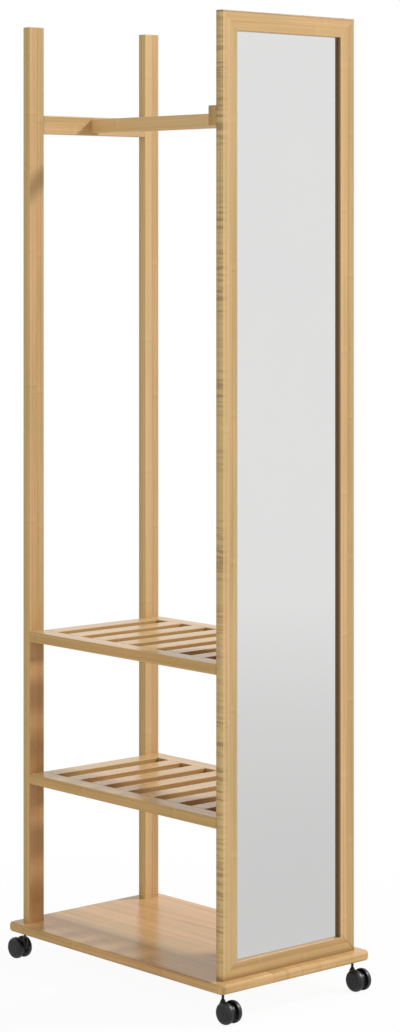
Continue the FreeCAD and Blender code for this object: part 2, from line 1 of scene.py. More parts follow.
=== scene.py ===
import bpy
import math
import numpy as np
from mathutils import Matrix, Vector


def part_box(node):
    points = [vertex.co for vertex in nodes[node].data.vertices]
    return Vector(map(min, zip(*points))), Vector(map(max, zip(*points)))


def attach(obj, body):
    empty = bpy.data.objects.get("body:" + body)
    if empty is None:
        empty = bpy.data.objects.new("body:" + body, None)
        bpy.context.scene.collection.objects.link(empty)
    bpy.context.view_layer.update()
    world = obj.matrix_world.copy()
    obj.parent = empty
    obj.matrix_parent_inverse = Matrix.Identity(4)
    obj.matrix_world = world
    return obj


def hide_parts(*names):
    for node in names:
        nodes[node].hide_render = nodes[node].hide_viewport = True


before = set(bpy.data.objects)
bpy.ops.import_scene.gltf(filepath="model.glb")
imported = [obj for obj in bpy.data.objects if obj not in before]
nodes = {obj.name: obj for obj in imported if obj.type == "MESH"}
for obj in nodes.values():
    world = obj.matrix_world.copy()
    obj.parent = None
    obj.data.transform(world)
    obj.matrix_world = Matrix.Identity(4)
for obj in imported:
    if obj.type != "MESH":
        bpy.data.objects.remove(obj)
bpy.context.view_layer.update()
print("frame loaded,", len(nodes), "nodes")

scene = bpy.context.scene
scene.view_settings.view_transform = "Standard"


# A colour as picked on a screen, 0 to 255, turned into the linear values that a shader takes
def linear(red, green, blue):
    shares = np.array([red, green, blue]) / 255.0
    curved = ((shares + 0.055) / 1.055) ** 2.4
    return tuple(float(v) for v in np.where(shares <= 0.04045, shares / 12.92, curved))


# A node's output wrapped so that shader maths reads as plain Python
class Signal:
    def __init__(self, finish, socket):
        self.finish, self.socket = finish, socket

    def __getitem__(self, name):  # another output of the same node
        return Signal(self.finish, self.socket.node.outputs[name])

    def maths(self, operation, *others, swap=False):
        terms = [self, *others]
        if swap:
            terms.reverse()
        return self.finish.node("Math", {"operation": operation}, dict(enumerate(terms)))

    def __add__(self, other): return self.maths("ADD", other)
    def __radd__(self, other): return self.maths("ADD", other, swap=True)
    def __sub__(self, other): return self.maths("SUBTRACT", other)
    def __rsub__(self, other): return self.maths("SUBTRACT", other, swap=True)
    def __mul__(self, other): return self.maths("MULTIPLY", other)
    def __rmul__(self, other): return self.maths("MULTIPLY", other, swap=True)
    def __truediv__(self, other): return self.maths("DIVIDE", other)
    def __rtruediv__(self, other): return self.maths("DIVIDE", other, swap=True)
    def __abs__(self): return self.maths("ABSOLUTE")
    def floor(self): return self.maths("FLOOR")
    def over(self, limit): return self.maths("GREATER_THAN", limit)
    def least(self, other): return self.maths("MINIMUM", other)
    def most(self, other): return self.maths("MAXIMUM", other)

    # 0 below the first value, 1 above the second, smooth between them; the two may come in either order
    def ramp(self, low, high):
        settings = {"interpolation_type": "SMOOTHSTEP"}
        if low < high:
            return self.finish.node("MapRange", settings, {0: self, 1: low, 2: high})
        return self.finish.node("MapRange", settings, {0: self, 1: high, 2: low, 3: 1.0, 4: 0.0})


# One material with one method that adds any node to it: its type, its settings, then its sockets
class Finish:
    def __init__(self, name, owner=None):
        self.owner = owner or bpy.data.materials.new(name)
        self.owner.use_nodes = True
        self.tree = self.owner.node_tree
        self.tree.nodes.clear()

    def node(self, kind, settings=None, inputs=None, output=0):
        made = self.tree.nodes.new("ShaderNode" + kind)
        for key, value in (settings or {}).items():
            if key == "stops":
                spots = made.color_ramp.elements
                while len(spots) < len(value):
                    spots.new(0.5)
                for spot, (at, colour) in zip(spots, value):
                    spot.position, spot.color = at, (*colour, 1.0)
            else:
                setattr(made, key, value)
        for key, value in (inputs or {}).items():
            if isinstance(value, Signal):
                self.tree.links.new(value.socket, made.inputs[key])
            elif isinstance(value, tuple) and len(value) == 3 and made.inputs[key].type == "RGBA":
                made.inputs[key].default_value = (*value, 1.0)
            else:
                made.inputs[key].default_value = value
        return Signal(self, made.outputs[output]) if made.outputs else None

    def place(self):
        return self.node("TexCoord", output="Object")

    def parts(self, vector):
        whole = self.node("SeparateXYZ", inputs={0: vector})
        return [whole[letter] for letter in "XYZ"]

    def point(self, x, y, z):
        return self.node("CombineXYZ", inputs={0: x, 1: y, 2: z})

    def noise(self, vector, scale=1.0, detail=2.0):
        return self.node("TexNoise", {"noise_dimensions": "3D"},
                         {"Vector": vector, "Scale": scale, "Detail": detail})

    def mix(self, share, first, second):
        return self.node("Mix", {"data_type": "RGBA"}, {0: share, 6: first, 7: second}, 2)

    def bump(self, height, strength, distance):
        return self.node("Bump", inputs={"Height": height, "Strength": strength, "Distance": distance})

    def surface(self, **sockets):  # the closing shader, with each socket named by its words
        named = {name.replace("_", " "): value for name, value in sockets.items()}
        shader = self.node("BsdfPrincipled", inputs=named)
        self.node("OutputMaterial", inputs={"Surface": shader})
        return self.owner


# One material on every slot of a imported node
def paintNode(name, material):
    spots = nodes[name].material_slots
    if not spots:
        nodes[name].data.materials.append(material)
    for spot in nodes[name].material_slots:
        spot.material = material


# The camera is level, turned to the left side and shifted down, so that upright lines stay parallel
cameraRow = {"place": (3.614, -3.145, 1.280), "turn": 48.236, "lens": 96.35, "shift": (-0.0201, -0.2717),
             "farthest": 200}
camera = bpy.data.objects.new("camera", bpy.data.cameras.new("camera"))
scene.collection.objects.link(camera)
camera.location = cameraRow["place"]
camera.rotation_euler = (math.radians(90), 0, math.radians(cameraRow["turn"]))
camera.data.lens = cameraRow["lens"]
camera.data.shift_x, camera.data.shift_y = cameraRow["shift"]
camera.data.clip_end = cameraRow["farthest"]
scene.camera = camera

# One soft lamp high in front and to the right of the mirror
lampRow = {"place": (2.86, 4.0, 4.60), "aim": (0.1, 0.0, 0.9), "size": 0.72, "watts": 280.0}
lamp = bpy.data.objects.new("keyLamp", bpy.data.lights.new("keyLamp", "AREA"))
scene.collection.objects.link(lamp)
lamp.data.shape = "DISK"
lamp.data.size = lampRow["size"]
lamp.data.energy = lampRow["watts"]
lamp.location = lampRow["place"]
lamp.rotation_euler = (Vector(lampRow["aim"]) - lamp.location).to_track_quat("-Z", "Y").to_euler()

# White all round: full white to the eye, to gloss and to glass, and softer as a light
aroundRow = {"light": 0.57, "seen": 1.0}
world = bpy.data.worlds.new("around")
scene.world = world
air = Finish("around", world)
rays = air.node("LightPath", output="Is Camera Ray")
seen = rays
for name in ("Is Glossy Ray", "Is Transmission Ray"):
    seen = seen.most(rays[name])
strength = aroundRow["light"] + seen * (aroundRow["seen"] - aroundRow["light"])
sky = air.node("Background", inputs={"Color": (1.0, 1.0, 1.0), "Strength": strength})
air.node("OutputWorld", inputs={"Surface": sky})

# The floor is a wide flat square; near the object it keeps a faint shadow, and farther off it is plain white
floorRow = {"half": 40.0, "albedo": 0.82, "near": 0.95, "far": 1.0, "fade": (0.45, 1.3),
            "glossNear": 0.80, "glossFar": 1.0, "glossFade": (0.8, 6.0)}
half = floorRow["half"]
floorMesh = bpy.data.meshes.new("floor")
floorCorners = [(-half, -half, 0), (half, -half, 0), (half, half, 0), (-half, half, 0)]
floorMesh.from_pydata(floorCorners, [], [(0, 1, 2, 3)])
floor = bpy.data.objects.new("floor", floorMesh)
scene.collection.objects.link(floor)
ground = Finish("floorWhite")
flat = ground.place()
away = ground.node("VectorMath", {"operation": "LENGTH"}, {0: flat}, "Value")
rays = ground.node("LightPath", output="Is Camera Ray")
glow = away.ramp(*floorRow["fade"]) * (floorRow["far"] - floorRow["near"]) + floorRow["near"]
glossRise = floorRow["glossFar"] - floorRow["glossNear"]
mirrored = away.ramp(*floorRow["glossFade"]) * glossRise + floorRow["glossNear"]
matt = ground.node("BsdfDiffuse", inputs={"Color": (floorRow["albedo"],) * 3})
bright = ground.node("Emission", inputs={"Color": (1.0, 1.0, 1.0), "Strength": 1.0})
grey = ground.node("CombineColor", inputs={channel: mirrored for channel in range(3)})
dimmer = ground.node("Emission", inputs={"Color": grey})
toEye = ground.node("MixShader", inputs={0: rays * glow, 1: matt, 2: bright})
toGloss = ground.node("MixShader", inputs={0: rays["Is Glossy Ray"], 1: toEye, 2: dimmer})
ground.node("OutputMaterial", inputs={"Surface": toGloss})
floorMesh.materials.append(ground.owner)
print("camera, lamp and floor are set")


# Laminated bamboo. A stick is cut into strips across its width and layers through its thickness; every
# strip has its own tone, long thin fibres, a slow change of hue along it, and faint knuckles at even steps
bambooLooks = {
    "dark": (162, 121, 76), "mid": (207, 170, 120), "light": (230, 197, 152), "toneStops": (0.12, 0.5, 0.88),
    "green": (201, 175, 114), "warm": (218, 163, 112), "hueStops": (0.1, 0.9), "hueShare": 0.44,
    "fibre": 330.0, "fibreRun": 2.6, "thread": 1500.0, "threadRun": 30.0, "drift": 14.0, "driftRun": 5.5,
    "wrapRun": 9.0, "stripJump": 31.0, "seedJump": 3.7, "runJump": 17.0, "driftJump": 23.0,
    "knuckleJump": 5.0, "sliver": 0.001,
    "toneByStrip": 0.24, "toneByFibre": 0.95, "toneByDrift": 0.34, "toneByThread": 0.24,
    "hueByStrip": 0.45, "hueByDrift": 1.1, "hueByFibre": 0.5,
    "knuckleStep": 0.240, "knuckleHalf": 0.0035, "knuckleWave": 0.008, "knuckleDark": 0.10,
    "haloAt": 0.007, "haloHalf": 0.009, "haloLight": 0.07,
    "glueHalf": 0.0006, "glueFrom": 0.4, "glueShade": (140, 102, 62),
    "sawnAt": (0.8, 0.95), "wrappedAt": (0.5, 0.85), "cutShade": (0.84, 0.78, 0.68), "cutDots": 0.9,
    # painted shade and painted light on sideways faces: uprights darker at the back and lighter at the front
    "flankAt": (0.55, 0.9), "sideBack": (0.93, 0.93, 0.75), "sideFront": (1.14, 1.24, 0.98),
    "sideFlat": (1.12, 1.07, 0.88), "rimAt": (0.5, 0.9), "rimWidth": 0.0065,
    # painted highlight on one front edge of uprights, painted shade on the other
    "rimLow": (232, 198, 152), "rimLowShare": 0.42, "rimHigh": (185, 175, 158), "rimHighShare": 0.66,
    "roughness": 0.34, "topAt": (0.92, 0.99), "shineByFibre": 0.16, "ior": 1.5, "bump": 0.22,
    "bumpDepth": 0.0002, "liftByFibre": 0.6, "liftByThread": 0.25, "sinkByGlue": 0.5, "sinkByKnuckle": 0.2,
}


# The order gives the letters of the stick's length, width and thickness. Tone and warm move its colour,
# and lean moves them from strip to strip. Side and front paint shade and light on its sideways faces, polish
# gives the roughness of its edges and its top, and wrap and cut say how far its ends are wrapped round or
# sawn
def bamboo(name, order, strips, layers, seed, tone=0.0, warm=0.0, lean=(0.0, 0.0), side=None, front=None,
           wrap=0.0, cut=1.0, glueShare=0.28, gloss=0.34, polish=None, marks=None):
    looks = bambooLooks
    paint = Finish("bamboo." + name)
    low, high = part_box(name)
    letters = dict(zip("XYZ", paint.parts(paint.place())))
    facing = dict(zip("XYZ", paint.parts(paint.node("NewGeometry", output="Normal"))))
    ends = {letter: (low[i], high[i]) for i, letter in enumerate("XYZ")}
    along, across, through = (letters[letter] for letter in order)

    # Distance from the stick's low face, counted in strips or in layers
    def counted(signal, letter, count):
        lowest, highest = ends[letter]
        return (signal - lowest) * (count / (highest - lowest))

    # The number of a strip or a layer, kept from 0 to one less than the count
    def ranked(counter, count):
        return counter.least(count - looks["sliver"]).most(0.0).floor()

    stripAt = counted(across, order[1], strips)
    layerAt = counted(through, order[2], layers)
    strip, layer = ranked(stripAt, strips), ranked(layerAt, layers)
    cell = paint.point(strip, layer, seed)
    chance = paint.node("TexWhiteNoise", {"noise_dimensions": "3D"}, {"Vector": cell})
    dice = paint.parts(chance["Color"])
    rank = strip - (strips - 1) / 2

    # Sawn ends are darker and dotted; where the grain wraps round an end, the streaks run across it instead
    endOn = abs(facing[order[0]])
    sawn = endOn.ramp(*looks["sawnAt"]) * cut
    wrapped = endOn.ramp(*looks["wrappedAt"]) * wrap
    spread = 1.0 - wrapped

    # Fibres run along the stick: noise that is squeezed across it and stretched along it
    def streaks(squeeze, stretch, detail, die):
        return paint.noise(paint.point(across * squeeze + dice[die] * looks["stripJump"],
                                       through * squeeze + seed * looks["seedJump"],
                                       along * stretch + dice[0] * looks["runJump"]), 1.0, detail)

    fibre = streaks(looks["fibre"], looks["fibreRun"], 3.0, 1)
    if wrap:
        lying = paint.noise(paint.point(across * looks["wrapRun"], through * looks["fibre"], seed), 1.0, 3.0)
        fibre = fibre * spread + lying * wrapped
    thread = streaks(looks["thread"], looks["threadRun"], 1.0, 2)
    drift = paint.noise(paint.point(across * looks["drift"], through * looks["drift"] + seed,
                                    along * looks["driftRun"] + dice[2] * looks["driftJump"]), 1.0, 2.0)
    level = 0.5 + tone + (chance - 0.5) * spread * looks["toneByStrip"] + (fibre - 0.5) * looks["toneByFibre"]
    level = level + (drift - 0.5) * looks["toneByDrift"] + (thread - 0.5) * looks["toneByThread"]
    level = level + rank * lean[0] + (thread - 0.5) * sawn * looks["cutDots"]

    # Knuckles: a soft dark band over one strip with a paler band beside it
    step = looks["knuckleStep"]
    turn = along / step + dice[1] * looks["knuckleJump"]
    toKnuckle = (turn - turn.floor() - 0.5) * step + (fibre - 0.5) * looks["knuckleWave"]
    band = abs(toKnuckle).ramp(looks["knuckleHalf"], 0.0) * spread
    halo = abs(toKnuckle - looks["haloAt"]).ramp(looks["haloHalf"], 0.0) * spread
    level = level - band * looks["knuckleDark"] + halo * looks["haloLight"]

    # A colour from a row of named colours at their stops
    def graded(stops, keys, value):
        row = [(at, linear(*looks[key])) for at, key in zip(looks[stops], keys)]
        return paint.node("ValToRGB", {"stops": row}, {0: value})

    colour = graded("toneStops", ("dark", "mid", "light"), level)
    hue = (dice[2] - 0.5) * spread * looks["hueByStrip"] + (drift - 0.5) * looks["hueByDrift"]
    hue = hue + rank * lean[1] + (thread - fibre) * looks["hueByFibre"] + (0.5 + warm)
    colour = paint.mix(looks["hueShare"], colour, graded("hueStops", ("green", "warm"), hue))

    # Glue lines between strips and between layers
    def glue(counter, letter, count):
        lowest, highest = ends[letter]
        toLine = abs(counter - (counter + 0.5).floor()) * ((highest - lowest) / count)
        inner = counter.over(looks["glueFrom"]) * (1.0 - counter.over(count - looks["glueFrom"]))
        return toLine.ramp(looks["glueHalf"], 0.0) * inner

    lines = glue(stripAt, order[1], strips).most(glue(layerAt, order[2], layers))
    colour = paint.mix(lines * spread * glueShare, colour, linear(*looks["glueShade"]))

    # Along an upright's front a painted highlight makes one edge paler and a painted shade makes the other
    # greyer
    if order == "ZYX":
        lowest, highest = ends["Y"]
        ahead = abs(facing["X"]).ramp(*looks["rimAt"])
        for near, key in ((across - lowest, "rimLow"), (highest - across, "rimHigh")):
            rim = near.ramp(looks["rimWidth"], 0.0) * ahead * looks[key + "Share"]
            colour = paint.mix(rim, colour, linear(*looks[key]))

    # Painted shade and painted light on faces that look sideways; on uprights it changes from the back to the
    # front
    def shaded(share, colour, shade):
        settings = {"data_type": "RGBA", "blend_type": "MULTIPLY"}
        return paint.node("Mix", settings, {0: share, 6: colour, 7: shade}, 2)

    sideLightShade = side or looks["sideFlat"]
    if order[2] == "X":
        rear, fore = side or looks["sideBack"], front or looks["sideFront"]
        sideLightShade = paint.mix(counted(letters["X"], "X", 1), rear, fore)
    flankOn = facing["X" if order == "YXZ" else "Y"]
    colour = shaded(abs(flankOn).ramp(*looks["flankAt"]), colour, sideLightShade)
    colour = shaded(sawn, colour, looks["cutShade"])
    for mask, shade in (marks(paint, letters) if marks else ()):
        colour = paint.mix(mask, colour, linear(*shade))

    # Fibres stand proud and glue lines and knuckles lie low; a polished top is smoother than its edges
    height = fibre * looks["liftByFibre"] + thread * looks["liftByThread"]
    height = height - lines * looks["sinkByGlue"] - band * looks["sinkByKnuckle"]
    edge, top = polish or (looks["roughness"], looks["roughness"])
    shine = edge - facing["Z"].ramp(*looks["topAt"]) * (edge - top) + (fibre - 0.5) * looks["shineByFibre"]
    return paint.surface(Base_Color=colour, Roughness=shine, IOR=looks["ior"], Specular_IOR_Level=gloss,
                         Normal=paint.bump(height, looks["bump"], looks["bumpDepth"]))


# Brown streaks along the board: stretched noise above a threshold
boardStreaks = {"across": 70.0, "along": 3.2, "seed": 5.0, "at": (0.50, 0.72), "share": 0.34,
                "shade": (166, 112, 72)}


def boardMarks(paint, letters):
    looks = boardStreaks
    spot = paint.point(letters["X"] * looks["along"], letters["Y"] * looks["across"], looks["seed"])
    streak = paint.noise(spot, 1.0, 3.0)
    return [(streak.ramp(*looks["at"]) * looks["share"], looks["shade"])]


# The mirror frame: painted shade on the stiles' inner lip, fine mitre lines at the corners, a browner line of
# painted shadow where it stands on the board, a browner line along its top, and short dark dashes across the
# side and the outer strip of the left stile
frameLooks = {
    # painted shade on the stiles' inner lip, darker still next to the glass
    "lipAt": (0.1180, 0.1172), "glassAt": (0.2640, 0.2590), "lipShare": 0.86,
    "lipFar": (150, 112, 66), "lipNear": (98, 70, 31),
    "top": 1.648, "foot": 0.066, "half": 0.150, "mitreHalf": 0.0007, "mitreShare": 0.16,
    "lineShade": (132, 94, 54), "footRise": 0.0105, "footShare": 0.60, "topDrop": 0.0040, "topShare": 0.55,
    "dashAcross": 14.0, "dashAlong": 190.0, "dashAt": (0.44, 0.62), "dashShade": (132, 92, 48),
    "clusterAcross": 3.0, "clusterAlong": 11.0, "clusterSeed": 4.0, "clusterAt": (0.28, 0.58),
    "sideAt": (-0.1485, -0.1495), "onSide": 0.54, "stripAt": (-0.1380, -0.1400), "onStrip": 0.12,
}


def frameMarks(paint, letters, dashed=False):
    looks = frameLooks
    x, y, z = (letters[letter] for letter in "XYZ")
    out = looks["half"] - abs(y)
    corners = abs(out - (looks["top"] - z)).least(abs(out - (z - looks["foot"])))
    mitre = corners.ramp(looks["mitreHalf"], 0.0) * looks["mitreShare"]
    # painted shadow at the foot, where the frame stands on the board
    foot = z.ramp(looks["foot"] + looks["footRise"], looks["foot"]) * looks["footShare"]
    crest = z.ramp(looks["top"] - looks["topDrop"], looks["top"] - looks["topDrop"] / 3) * looks["topShare"]
    marks = [(mitre.most(foot).most(crest), looks["lineShade"])]
    if dashed:
        dashSpot = paint.point(x * looks["dashAcross"], y * looks["dashAcross"], z * looks["dashAlong"])
        lengthwise = z * looks["clusterAlong"] + looks["clusterSeed"]
        clusterSpot = paint.point(x * looks["clusterAcross"], 0.0, lengthwise)
        dash = paint.noise(dashSpot, 1.0, 3.0).ramp(*looks["dashAt"])
        cluster = paint.noise(clusterSpot, 1.0, 1.0).ramp(*looks["clusterAt"])
        where = y.ramp(*looks["sideAt"]) * (looks["onSide"] - looks["onStrip"])
        where = where + y.ramp(*looks["stripAt"]) * looks["onStrip"]
        marks.append((dash * cluster * where, looks["dashShade"]))
    return marks


# Painted shade on the stiles' inner lip, darkest next to the glass
def stileMarks(paint, letters, dashed=False):
    looks = frameLooks
    lip = abs(letters["Y"]).ramp(*looks["lipAt"]) * looks["lipShare"]
    glass = letters["X"].ramp(*looks["glassAt"])
    return frameMarks(paint, letters, dashed) + [(lip, looks["lipFar"]), (lip * glass, looks["lipNear"])]


# Painted shade makes a shelf rail's inner side, between the slats, browner
railShadeLooks = {"innerAt": (0.1180, 0.1172), "share": 0.5, "shade": (124, 88, 54)}


def railInnerShade(paint, letters):
    return [(abs(letters["Y"]).ramp(*railShadeLooks["innerAt"]) * railShadeLooks["share"], railShadeLooks["shade"])]


# Painted shade makes the left post's front redder between the shelves and the board
postShadeLooks = {"frontAt": (-0.2480, -0.2472), "below": (0.62, 0.50), "share": 0.30, "shade": (176, 112, 60)}


def postShade(paint, letters):
    ahead = letters["X"].ramp(*postShadeLooks["frontAt"])
    return [(letters["Z"].ramp(*postShadeLooks["below"]) * ahead * postShadeLooks["share"], postShadeLooks["shade"])]


# How each kind of member is laid up, and what sets a single member apart. Side and front are painted shade
# and painted light on its sideways faces
upright = {"order": "ZYX", "strips": 2, "layers": 2}
crosswise = {"order": "YZX", "strips": 2, "layers": 2}
shelfRail = {"order": "XYZ", "strips": 2, "layers": 1, "polish": (0.45, 0.26), "marks": railInnerShade}
shelfSlat = {"order": "YXZ", "strips": 2, "layers": 1, "polish": (0.45, 0.26), "tone": 0.05, "warm": -0.18,
             "side": (0.74, 0.66, 0.52)}
members = {
    "post_left": {**upright, "tone": 0.04, "lean": (-0.10, -0.40), "marks": postShade},
    "post_right": {**upright, "lean": (-0.30, 0.05), "side": (0.86, 0.82, 0.62)},
    "frame_stile_left": {**upright, "tone": 0.03, "warm": -0.26, "lean": (-0.06, -0.18),
                         "side": (0.94, 0.95, 0.87), "front": (1.34, 1.43, 1.22),
                         "marks": lambda *given: stileMarks(*given, dashed=True)},
    "frame_stile_right": {**upright, "tone": -0.08, "warm": -0.10, "lean": (-0.14, -0.5),
                          "marks": stileMarks},
    "frame_rail_top": {**crosswise, "tone": -0.06, "lean": (0.0, 0.17), "marks": frameMarks},
    "frame_rail_bottom": {**crosswise, "tone": -0.19, "warm": -0.12, "lean": (0.05, 0.35),
                          "marks": frameMarks},
    "post_cross_rail": {**crosswise, "tone": 0.03},
    "mirror_cross_rail": crosswise,
    "hanging_rail": {"order": "XZY", "strips": 1, "layers": 2, "tone": 0.24, "side": (1.17, 1.19, 1.08)},
    "base_board": {"order": "XYZ", "strips": 9, "layers": 1, "cut": 0.0, "wrap": 1.0, "glueShare": 0.10,
                   "gloss": 0.15, "side": (1.28, 1.26, 1.20), "polish": (0.58, 0.24), "marks": boardMarks},
}
for side in ("left", "right"):
    for shelf in ("lower", "upper"):
        members[f"{shelf}_shelf_rail_{side}"] = shelfRail
for shelf in ("lower", "upper"):
    for count in range(1, 9):
        members[f"{shelf}_shelf_slat_{count}"] = shelfSlat
woods = {name: bamboo(name, seed=seed + 1.0, **row) for seed, (name, row) in enumerate(members.items())}
for name, wood in woods.items():
    paintNode(name, wood)
print("bamboo is on", len(members), "members")


# The silvered glass: a plain mirror with a trace of waviness
mirrorLooks = {"waves": 6.0, "low": (0.735, 0.735, 0.735), "high": (0.755, 0.750, 0.745), "roughness": 0.012,
               "roughnessByWave": 0.006}


def mirrorSilver():
    looks = mirrorLooks
    paint = Finish("mirrorSilver")
    wave = paint.noise(paint.place(), looks["waves"])
    return paint.surface(Base_Color=paint.mix(wave, looks["low"], looks["high"]), Metallic=1.0,
                         Roughness=looks["roughness"] + wave * looks["roughnessByWave"])


# Brown pressed board behind the glass: small flecks and wide clouds make one matt tone
hardboardLooks = {"flecks": 1100.0, "clouds": 7.0, "fleckShare": 0.85, "stops": (0.25, 0.75),
                  "dark": (104, 74, 50), "light": (146, 109, 76), "roughness": 0.75,
                  "bump": 0.3, "bumpDepth": 0.0002}


def hardboard():
    looks = hardboardLooks
    paint = Finish("hardboard")
    fleck = paint.noise(paint.place(), looks["flecks"], 4.0)
    cloud = paint.noise(paint.place(), looks["clouds"], 1.0)
    stops = [(at, linear(*looks[key])) for at, key in zip(looks["stops"], ("dark", "light"))]
    level = fleck * looks["fleckShare"] + cloud * (1.0 - looks["fleckShare"])
    return paint.surface(Base_Color=paint.node("ValToRGB", {"stops": stops}, {0: level}),
                         Roughness=looks["roughness"],
                         Normal=paint.bump(fleck, looks["bump"], looks["bumpDepth"]))


# Dowels: pale wood with a fine even grain
dowelLooks = {"grain": 700.0, "light": (214, 178, 132), "dark": (184, 142, 96), "roughness": 0.6}


def dowelWood():
    looks = dowelLooks
    paint = Finish("dowelWood")
    grain = paint.noise(paint.place(), looks["grain"])
    return paint.surface(Base_Color=paint.mix(grain, linear(*looks["light"]), linear(*looks["dark"])),
                         Roughness=looks["roughness"])


# Metals and black plastics: a cloudy tone between dark and light over a fine grain. The grain stirs the gloss
# of the metals, and the clouds stir that of the plastics
solidLooks = {
    "zincSteel": {"dark": (0.50, 0.50, 0.49), "light": (0.66, 0.66, 0.64),
                  "roughness": 0.24, "metallic": 1.0},
    "blackenedSteel": {"dark": (0.020, 0.020, 0.020), "light": (0.045, 0.045, 0.045),
                       "roughness": 0.34, "metallic": 0.4},
    "hoodPlastic": {"dark": (0.005, 0.005, 0.005), "light": (0.010, 0.010, 0.011),
                    "roughness": 0.34, "gloss": 0.30},
    "wheelPlastic": {"dark": (0.004, 0.004, 0.005), "light": (0.026, 0.026, 0.028),
                     "roughness": 0.30, "gloss": 0.36},
    "treadPlastic": {"dark": (0.003, 0.003, 0.004), "light": (0.006, 0.006, 0.007),
                     "roughness": 0.36, "gloss": 0.62},
}
metalLooks = {"grain": 1800.0, "clouds": 220.0, "stir": 0.10, "bump": 0.08, "bumpDepth": 0.0001}
plasticLooks = {"grain": 2600.0, "clouds": 90.0, "stir": 0.10, "bump": 0.06, "bumpDepth": 0.0001, "ior": 1.46}


def solidFinish(name, row):
    metal = "metallic" in row
    looks = metalLooks if metal else plasticLooks
    paint = Finish(name)
    grain = paint.noise(paint.place(), looks["grain"])
    cloud = paint.noise(paint.place(), looks["clouds"], 3.0)
    if metal:
        own = {"Metallic": row["metallic"]}
    else:
        own = {"IOR": looks["ior"], "Specular_IOR_Level": row["gloss"]}
    return paint.surface(Base_Color=paint.mix(cloud, row["dark"], row["light"]),
                         Roughness=row["roughness"] + (grain if metal else cloud) * looks["stir"],
                         Normal=paint.bump(grain, looks["bump"], looks["bumpDepth"]), **own)


solids = {name: solidFinish(name, row) for name, row in solidLooks.items()}
paintNode("mirror_glass", mirrorSilver())
paintNode("mirror_backing", hardboard())
paintNode("caster_stems", solids["blackenedSteel"])
dowel = dowelWood()
for name in nodes:
    if name.endswith("_screws") or name in ("backing_clips", "caster_inserts") or name.endswith("_axle"):
        paintNode(name, solids["zincSteel"])
    elif name.endswith("_dowels"):
        paintNode(name, dowel)
    elif name.endswith("_hood") or "_wheel_" in name:
        paintNode(name, solids["hoodPlastic"])
print("glass, board, steel and plastic are on")


# The cross of a recess: its waist beside its arms, and the power of the cosine that draws the arms
crossRow = {"waist": 0.34, "power": 1.6}


# A turned form: rings round an axis, with their corners at equal angles. Each row is a distance along the
# axis, a radius, and a share from 0, where the ring is a circle, to 1, where it is the whole figure of a
# recess. The hexagon divides the cosine of 30 degrees by the cosine of the angle from a side's middle, and
# the cross adds to its waist a power of the cosine of twice the turn. The first and the last row become one
# point each
def turned(rows, sides, figure="hexagon"):
    rows = np.array(rows, float)
    turn = np.arange(sides) * (2 * math.pi / sides)
    sixth = math.pi / 3
    waist = crossRow["waist"]
    shapes = {"hexagon": math.cos(sixth / 2) / np.cos(turn % sixth - sixth / 2),
              "cross": waist + (1 - waist) * np.abs(np.cos(2 * turn)) ** crossRow["power"]}
    rings = rows[1:-1]
    radius = rings[:, 1:2] * (1 + rings[:, 2:3] * (shapes[figure] - 1))
    spots = np.stack([np.repeat(rings[:, 0], sides), (radius * np.cos(turn)).ravel(),
                      (radius * np.sin(turn)).ravel()], axis=1)
    spots = np.vstack([spots, [rows[0, 0], 0, 0], [rows[-1, 0], 0, 0]])
    here = np.arange(sides)
    after = (here + 1) % sides
    low = (np.arange(len(rings) - 1) * sides)[:, None]
    around = [low + here, low + after, low + sides + after, low + sides + here]
    quads = np.stack(around, axis=-1).reshape(-1, 4)
    pole = len(rings) * sides
    last = pole - sides
    first = np.stack([after, here, np.full(sides, pole)], axis=1)
    closing = np.stack([last + here, last + after, np.full(sides, pole + 1)], axis=1)
    return spots, quads, np.vstack([first, closing])


# A profile's corners, each given as (along, radius, figure, rounding). A rounded one becomes a quadratic
# curve that starts and ends that far from it on its two sides
def softened(corners, steps):
    rows = []
    for index, (along, radius, figure, rounding) in enumerate(corners):
        corner = np.array([along, radius])
        if not rounding:
            rows.append([*corner, figure])
            continue
        ways = [np.array(corners[index + turn][:2]) - corner for turn in (-1, 1)]
        start, end = (corner + way / np.hypot(*way) * rounding for way in ways)
        share = np.linspace(0, 1, steps + 1)[:, None]
        arc = start * (1 - share) ** 2 + corner * 2 * share * (1 - share) + end * share ** 2
        rows.extend([*spot, figure] for spot in arc)
    return rows


# A softened profile with its sizes turned from millimetres into metres
def profile(corners, steps):
    return [(along / 1000, radius / 1000, figure) for along, radius, figure in softened(corners, steps)]


# A finished piece: its points in metres, its faces, its materials and which face takes which. It is shaded
# smooth, except across edges that turn by more than the crease
def pieceOf(name, points, faces, materials, crease, banding=None):
    mesh = bpy.data.meshes.new(name)
    mesh.from_pydata(points.tolist(), [], faces)
    for material in materials:
        mesh.materials.append(material)
    if banding is not None:
        mesh.polygons.foreach_set("material_index", np.asarray(banding, np.int32))
    mesh.polygons.foreach_set("use_smooth", np.ones(len(faces), bool))
    mesh.set_sharp_from_angle(angle=math.radians(crease))
    mesh.update()
    piece = bpy.data.objects.new(name, mesh)
    scene.collection.objects.link(piece)
    return piece


# Copies of a turned form, each at a place with its axis along a direction. The faces are turned over where
# the volume that they close comes out negative, so that they look outward
def placed(form, spots):
    points, quads, threes = form
    allPoints, allFaces = [], []
    for place, axis in spots:
        axis = np.array(axis, float)
        second = np.roll(axis, 1)
        third = np.cross(axis, second)
        moved = points @ np.array([axis, second, third]) + place
        volume = sum(np.einsum("ij,ij->", moved[f[:, 0]], np.cross(moved[f[:, 1]], moved[f[:, 2]]))
                     for f in (quads[:, [0, 1, 2]], quads[:, [0, 2, 3]], threes))
        offset = len(points) * len(allPoints)
        for faces in (quads, threes):
            allFaces.extend(((faces if volume > 0 else faces[:, ::-1]) + offset).tolist())
        allPoints.append(moved)
    return np.vstack(allPoints), allFaces


